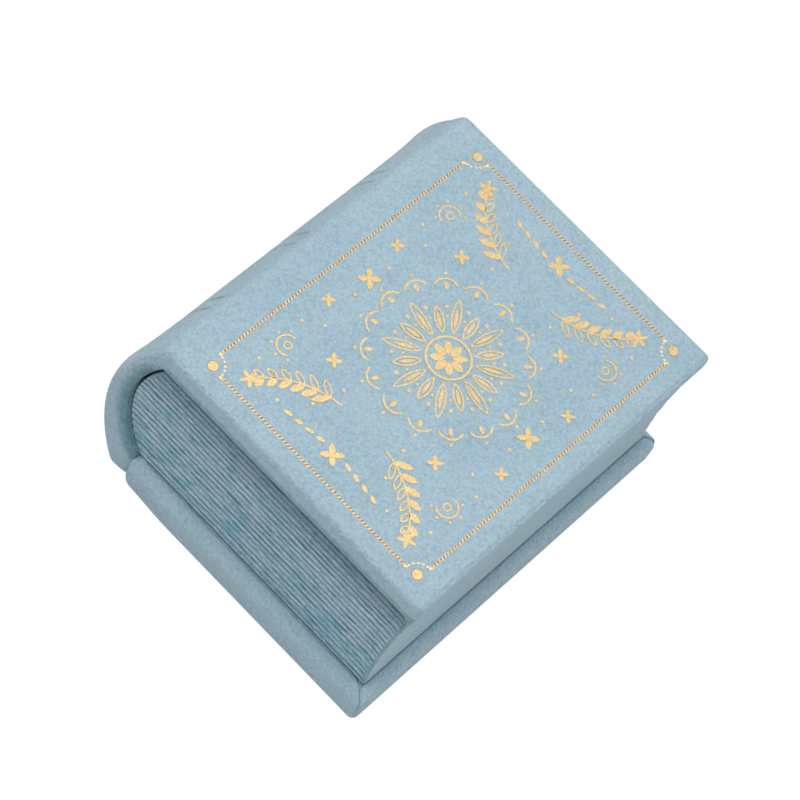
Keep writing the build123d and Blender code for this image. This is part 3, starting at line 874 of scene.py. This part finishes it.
cord = bmesh.new()
cord_shadow_marks = bmesh.new()
corner_beads = bmesh.new()
dots = bmesh.new()
runs = []
for y in (border_low_y, border_high_y):
    runs.append((Vector((border_x, y, 0)), Vector((1, 0, 0)), border_half_x - border_break))
border_middle_y = (border_low_y + border_high_y) / 2
for side in (-1, 1):
    middle = Vector((border_x + side * border_half_x, border_middle_y, 0))
    runs.append((middle, Vector((0, 1, 0)), (border_high_y - border_low_y) / 2 - border_break))
for middle, along, half_length in runs:
    across = Vector((-along.y, along.x, 0))
    turn = math.atan2(along.y, along.x)
    edge_verts = []
    for reach in steps(-half_length, half_length, cord_step):
        pair = []
        for side in (-1, 1):
            wander = cord_wander * noise.noise((middle + along * reach) / (2 * cord_step) + Vector((0, 0, side * 5)))
            point = middle + along * reach + across * side * (cord_width / 2 + wander)
            pair.append(cord.verts.new((point.x, point.y, book_height + cord_height)))
        edge_verts.append(pair)
    for (a, b), (c, d) in zip(edge_verts, edge_verts[1:]):
        cord.faces.new((a, c, d, b))
    # Dark beads slant across the pale cord: painted shadow between its turns.
    for reach in steps(-half_length, half_length, bead_pitch):
        point = middle + along * reach
        bead(cord_shadow_marks, point.x, point.y, bead_half, turn + bead_slant)
    for end in (-1, 1):
        point = middle + along * end * (half_length + 0.3 * mm)
        bead(dots, point.x, point.y, run_end_half, turn, 6)
for side_x in (-1, 1):
    for side_y, corner_y in ((-1, border_low_y), (1, border_high_y)):
        corner_x = border_x + side_x * border_half_x
        for number in range(5):
            turn = math.radians(12 + 16.5 * number)
            x = corner_x - side_x * corner_arc_radius * math.sin(turn)
            y = corner_y - side_y * corner_arc_radius * math.cos(turn)
            bead(corner_beads, x, y, corner_bead_half, -side_x * side_y * turn)
        dot_x = corner_x - side_x * corner_dot_inset[0]
        dot_y = corner_y - side_y * corner_dot_inset[1]
        # Under each dot, a slightly wider dark patch paints the shadow round it.
        ragged_disc(cord_shadow_marks, dot_x, dot_y, corner_dot_radius, 0.02 * mm, 0.16)
        ragged_disc(dots, dot_x, dot_y, corner_dot_radius * 0.9, 0.05 * mm, 0.12)
for bm, name, film in (
        (cord, "foil_cord", pale_foil), (corner_beads, "foil_corner_beads", pale_foil),
        (cord_shadow_marks, "foil_cord_beads", shadow_foil), (dots, "foil_dots", gold_foil)):
    bmesh.ops.recalc_face_normals(bm, faces=bm.faces)
    new_piece(bm, name, film, "lid")


# Gold picture: a plain garden design in the same foil, with a rosette in the middle, a
# leafy spray at each end and small blossoms between them. All of it is drawn by formula.
foil_height = 0.05 * mm
foil_levels = itertools.cycle([Vector((0, 0, number * 0.012 * mm)) for number in range(9)])
picture_centre = Vector((border_x, border_middle_y, book_height))
line_width = 0.42 * mm


def petal(bm, place_at, turn, length, width, hollow=0.0):
    """A pointed petal from a place outwards. Hollow is the width of its outline, or 0 where it is solid."""
    level = next(foil_levels)
    rings = []
    for inset in ([0.0, hollow] if hollow else [0.0]):
        verts = bmesh.ops.create_circle(bm, segments=20, radius=1, cap_ends=not hollow)["verts"]
        half_length, half_width = length / 2 - inset * 1.6, width / 2 - inset
        for vert in verts:
            along = vert.co.x
            swell = (1 - along * along) ** 0.75 * math.copysign(1, vert.co.y) if abs(along) < 1 else 0
            vert.co = Vector((length / 2 + along * half_length, swell * half_width, 0))
        rings.append(verts)
    if hollow:
        edges = [e for e in bm.edges if e.is_wire and (e.verts[0] in rings[0] + rings[1])]
        bmesh.ops.bridge_loops(bm, edges=edges)
    every = [v for ring in rings for v in ring]
    bmesh.ops.transform(bm, matrix=Matrix.Translation(place_at + level) @ Matrix.Rotation(turn, 4, "Z"), verts=every)


def arc_band(bm, centre, radius, width, start, sweep, count):
    """A flat band along an arc. Angles are in radians."""
    centre = centre + next(foil_levels)
    direction = Vector((math.cos(start), math.sin(start), 0))
    ends = [bm.verts.new(centre + direction * (radius + side * width / 2)) for side in (-1, 1)]
    edge = bm.edges.new(ends)
    full = abs(sweep) > 2 * math.pi - 1e-6
    bmesh.ops.spin(bm, geom=[*ends, edge], cent=centre, axis=(0, 0, 1), angle=sweep, steps=count, use_merge=full)


def round_dot(bm, place_at, radius):
    """A small flat disc of foil."""
    level = next(foil_levels)
    verts = bmesh.ops.create_circle(bm, segments=12, radius=radius, cap_ends=True)["verts"]
    bmesh.ops.translate(bm, verts=verts, vec=place_at + level)


def towards(turn, reach):
    """A step in the lid's plane."""
    return Vector((math.cos(turn), math.sin(turn), 0)) * reach


def blossom(bm, place_at, reach, turn, count=4):
    """A flower with solid petals."""
    for number in range(count):
        petal(bm, place_at, turn + number * math.tau / count, reach, reach * 2.1 / count)


picture = bmesh.new()
for number in range(8):
    petal(picture, picture_centre + towards(number * math.pi / 4, 0.9 * mm), number * math.pi / 4, 3.6 * mm, 1.9 * mm)
arc_band(picture, picture_centre, 5.4 * mm, 0.6 * mm, 0, math.tau, 64)
for number in range(16):
    turn = (number + 0.5) * math.pi / 8
    length = (9.5 if number % 2 else 7.2) * mm
    petal(picture, picture_centre + towards(turn, 6.3 * mm), turn, length, 2.5 * mm, line_width)
    petal(picture, picture_centre + towards(turn, 7.8 * mm), turn, length * 0.55, 0.9 * mm)
    round_dot(picture, picture_centre + towards(turn + math.pi / 16, 10.6 * mm), 0.34 * mm)
    round_dot(picture, picture_centre + towards(turn + math.pi / 16, 13.2 * mm), 0.5 * mm)
for number in range(16):
    turn = number * math.pi / 8
    scallop = picture_centre + towards(turn, 17.3 * mm)
    arc_band(picture, scallop, 3.1 * mm, 0.5 * mm, turn - 1.15, 2.3, 14)
    petal(picture, scallop + towards(turn, 0.2 * mm), turn, 2.1 * mm, 1.1 * mm)
    round_dot(picture, scallop + towards(turn, 4.5 * mm), 0.4 * mm)
for side in (-1, 1):
    for updown in (-1, 1):
        stem_centre = picture_centre + Vector((side * 52 * mm, updown * 4 * mm, 0))
        start = (math.pi if side > 0 else 0) - side * updown * 0.12
        sweep = -side * updown * 0.92
        stem_radius = 24 * mm
        arc_band(picture, stem_centre, stem_radius, line_width, start, sweep, 30)
        for number in range(6):
            turn = start + sweep * (number + 1) / 7
            on_stem = stem_centre + towards(turn, stem_radius)
            ahead = turn + math.copysign(math.pi / 2, sweep)
            for lean in (-1, 1):
                outline = 0 if lean > 0 else 0.34 * mm
                petal(picture, on_stem, ahead + lean * 0.75, (4.6 - 0.35 * number) * mm, 1.7 * mm, outline)
        tip = stem_centre + towards(start + sweep, stem_radius)
        blossom(picture, tip, 2.4 * mm, start, 5)
        curl = picture_centre + Vector((side * 27.2 * mm, updown * 25.2 * mm, 0))
        curl_start = math.atan2(-updown, side)
        arc_band(picture, curl, 2.6 * mm, line_width, curl_start, side * updown * 3.9, 26)
        arc_band(picture, curl, 0.9 * mm, line_width, curl_start, math.tau, 16)
        for number in range(5):
            round_dot(picture, curl + towards(curl_start + side * updown * 0.85 * number, 3.7 * mm), 0.34 * mm)
        for number in range(4):
            bud = Vector((side * (37.5 + number * 0.4) * mm, updown * (3.2 + 3.0 * number) * mm, 0))
            petal(picture, picture_centre + bud, updown * (math.pi / 2 - 0.3 * side), 2.4 * mm, 1.0 * mm)
for x, y, reach in (
        (0, 25.4, 2.8), (0, -25.4, 2.8), (21.5, 16, 2.0), (-21.5, 16, 2.0), (21.5, -16, 2.0), (-21.5, -16, 2.0),
        (38.5, 0, 2.8), (-38.5, 0, 2.8),
        (11.5, 27.5, 1.8), (-11.5, 27.5, 1.8), (11.5, -27.5, 1.8), (-11.5, -27.5, 1.8)):
    blossom(picture, picture_centre + Vector((x, y, 0)) * mm, reach * mm, math.pi / 4)
for x, y in ((5.6, 24.6), (16.8, 23.4), (20.2, 27.6), (25.0, 9.4), (33.0, 11.5), (38.6, 17.2), (34.6, 27.0)):
    for side in (-1, 1):
        for updown in (-1, 1):
            round_dot(picture, picture_centre + Vector((side * x, updown * y, 0)) * mm, 0.42 * mm)
bmesh.ops.recalc_face_normals(picture, faces=picture.faces)
bmesh.ops.translate(picture, verts=extrude(picture, picture.faces[:]), vec=(0, 0, foil_height))
bmesh.ops.recalc_face_normals(picture, faces=picture.faces)
new_piece(picture, "foil_picture", gold_foil, "lid")


# Velvet: a short dense pile on thin card, which covers the tray's rim, the linings of the tray
# and the lid, and both dividers. These boards are cut flat, so the CAD shapes are kept.
velvet, add, shader, place = new_material("short_pile_velvet", {
    "Roughness": 0.9, "Specular IOR Level": 0.1,
    "Sheen Weight": 0.5, "Sheen Roughness": 0.35, "Sheen Tint": "#DCE8F0"})
brushed = add("TexNoise", {"Vector": place, "Scale": 1 / (9 * mm), "Detail": 3.0, "Roughness": 0.6})
pile = add("TexNoise", {"Vector": place, "Scale": 1 / (0.35 * mm), "Detail": 2.0, "Roughness": 0.7})
lie = add("MapRange", {"Value": brushed, "From Min": 0.3, "From Max": 0.7})
pile_level = add("MapRange", {"Value": pile, "From Min": 0.25, "From Max": 0.75})
tone = add("Mix", {0: lie, 6: "#A3BCCA", 7: "#BED1DC"})
shade = add("Mix", {0: pile_level, 6: "#D5DADF", 7: "#FFFFFF"})
colour = add("Mix", {0: 1.0, 6: tone, 7: shade}, blend_type="MULTIPLY")
bump = add("Bump", {"Height": pile, "Strength": 0.5, "Distance": 0.2 * mm})
set_inputs(shader, {"Base Color": colour, "Normal": bump})


def finish(material, *node_names):
    """Gives CAD nodes whose shape is right a better finish."""
    for node_name in node_names:
        for node_slot in bpy.data.objects[node_name].material_slots:
            node_slot.material = material


finish(velvet, "tray_rim", "lining_front", "lining_back", "lining_left", "lining_right", "floor_lining",
       "divider_long", "divider_short", "lid_lining", "flap_lining")


# Boards: fibreboard in the lid, greyboard in the flap, greyboard faced with the box's blue
# paper for the tray's walls and floor, and the paper glued on underneath. All are cut sheets.
finish(fibreboard, "lid_board")
finish(board_material("greyboard", "#98938A", "#B9B4AA", 0.9 * mm, 0.9), "flap_board")
finish(board_material("paper_faced_greyboard", "#86A3B3", "#9DB6C4", 0.5 * mm, 0.8),
       "front_wall", "back_wall", "tray_floor")
finish(board_material("underside_paper", "#9DB4C2", "#ABC0CD", 0.5 * mm, 0.85), "base_sheet")


# Mirror: silvered glass with a ground edge, let into the velvet inside the lid and glued there.
# It is clean, with only the faint smears that a wiped mirror keeps.
def metal_material(name, shader_inputs, mark_size, detail, gloss_range, low_tone, high_tone):
    """Bright metal with faint marks in its gloss and tone."""
    material, add, shader, place = new_material(name, {"Metallic": 1.0, **shader_inputs})
    mark = add("TexNoise", {"Vector": place, "Scale": 1 / mark_size, "Detail": detail})
    gloss = add("MapRange", {"Value": mark, "To Min": gloss_range[0], "To Max": gloss_range[1]})
    tone = add("Mix", {0: mark, 6: low_tone, 7: high_tone})
    set_inputs(shader, {"Roughness": gloss, "Base Color": tone})
    return material


wiped = {"Coat Weight": 1.0, "Coat Roughness": 0.02}
silver = metal_material("silvered_glass", wiped, 20 * mm, 4.0, (0.015, 0.045), "#E9EEEF", "#F3F6F6")
finish(silver, "mirror")


# Magnets: nickel-plated discs behind the velvet of the flap, and flush in the front wall,
# where they show when the lid is up. Handling scuffs their plating.
nickel = metal_material("nickel_plate", {}, 0.8 * mm, 3.0, (0.18, 0.42), "#B9B8B4", "#D2D1CD")
finish(nickel, "wall_magnets", "flap_magnets")


# Foam: a cut sponge sheet under the lid's suede, and a firmer block that lifts the ring
# rolls. Both are cut with a saw, so their faces are flat and only their edges are worn round.
foam, add, shader, place = new_material("sponge_foam", {"Roughness": 0.95, "Specular IOR Level": 0.1})
pores = add("TexVoronoi", {"Vector": place, "Scale": 1 / (0.9 * mm)}, feature="F1")
pore_level = add("MapRange", {"Value": pores.outputs["Distance"], "From Min": 0.1, "From Max": 0.6})
pore_tone = add("Mix", {0: pore_level, 6: "#BDBBB4", 7: "#EDECE8"})
bump = add("Bump", {"Height": pores.outputs["Distance"], "Strength": 0.6, "Distance": 0.3 * mm})
set_inputs(shader, {"Base Color": pore_tone, "Normal": bump})


def foam_form(low, high, radius, sag):
    """A cut foam block in the place of a CAD node, with worn edges and faces that sag a little."""
    bm = block(low, high)
    round_edges(bm, lambda p: True, radius, 4)
    for axis, normal in enumerate(((1, 0, 0), (0, 1, 0))):
        slice_across(bm, normal, steps(low[axis] + 2 * mm, high[axis] - 2 * mm, 3 * mm))
    for vert in bm.verts:
        share = (vert.co.z - low.z) / (high.z - low.z)
        vert.co.z -= sag * share * (0.5 + 0.5 * noise.noise(vert.co / (11 * mm)))
    return bm


for node_name, name, body, radius, sag in (
        ("lid_padding", "lid_foam", "lid", 0.4 * mm, 0.1 * mm),
        ("ring_riser", "riser_foam", "case", 0.8 * mm, 0.25 * mm)):
    foam_piece = new_piece(foam_form(*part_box(node_name), radius, sag), name, foam, body)
    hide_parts(node_name)


# Ring rolls: strips of soft foam under stretched velvet, which grip rings between them. They
# are pressed side by side into the back of the tray, so their sides are flat and their tops
# crown. The blank is blown up ten times too big, since the cloth is steadier there.
roll_names = ["ring_roll_1", "ring_roll_2", "ring_roll_3", "ring_roll_4"]
roll_low, roll_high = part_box(roll_names[0])
roll_swell = 0.45 * mm
roll_crown_round = 3.0 * mm
roll_foot_round = 0.8 * mm
big = 10
mesh_size = 7 * mm
air_pressure = 4
cloth_frames = 20
half_size = (roll_high - roll_low) / 2 - Vector((1, 1, 1)) * roll_swell
roll = block(-half_size * big, half_size * big)
round_edges(roll, lambda p: p.z > 0, roll_crown_round * big, 6)
round_edges(roll, lambda p: p.z < -half_size.z * big + mm, roll_foot_round * big, 3)
roll_data = bpy.data.meshes.new("roll_blank")
roll.to_mesh(roll_data)
roll.free()
blank = bpy.data.objects.new("roll_blank", roll_data)
bpy.context.scene.collection.objects.link(blank)
remesh = blank.modifiers.new("even_mesh", "REMESH")
remesh.mode = "VOXEL"
remesh.voxel_size = mesh_size
even = bpy.data.meshes.new_from_object(blank.evaluated_get(bpy.context.evaluated_depsgraph_get()))
blank.modifiers.clear()
blank.data = even
before = [vert.co.copy() for vert in even.vertices]
after = before
cloth = blank.modifiers.new("blown_up", "CLOTH")
cloth.settings.use_pressure = True
cloth.settings.uniform_pressure_force = air_pressure
cloth.settings.effector_weights.gravity = 0
for frame_number in range(1, cloth_frames + 1):
    bpy.context.scene.frame_set(frame_number)
blown = blank.evaluated_get(bpy.context.evaluated_depsgraph_get()).to_mesh()
after = [vert.co.copy() for vert in blown.vertices]
blank.modifiers.clear()
bpy.context.scene.frame_set(1)
places = []
for old, new in zip(before, after):
    move = new - old
    reach = min(move.length, roll_swell * big)
    places.append((old + move.normalized() * reach) / big if reach > 0 else old / big)
for roll_name in roll_names:
    shift = (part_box(roll_name)[0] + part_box(roll_name)[1]) / 2
    roll = bmesh.new()
    roll.from_mesh(even)
    for vert, place_at in zip(roll.verts, places):
        vert.co = place_at + shift
    bmesh.ops.smooth_vert(roll, verts=roll.verts, factor=0.5, use_axis_x=True, use_axis_y=True, use_axis_z=True)
    bmesh.ops.recalc_face_normals(roll, faces=roll.faces)
    roll_piece = new_piece(roll, roll_name.replace("ring_roll", "velvet_roll"), velvet, "case", 80)
    soft = roll_piece.modifiers.new("soft", "SUBSURF")
    soft.levels = 1
    soft.render_levels = 1
    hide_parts(roll_name)
bpy.data.objects.remove(blank)
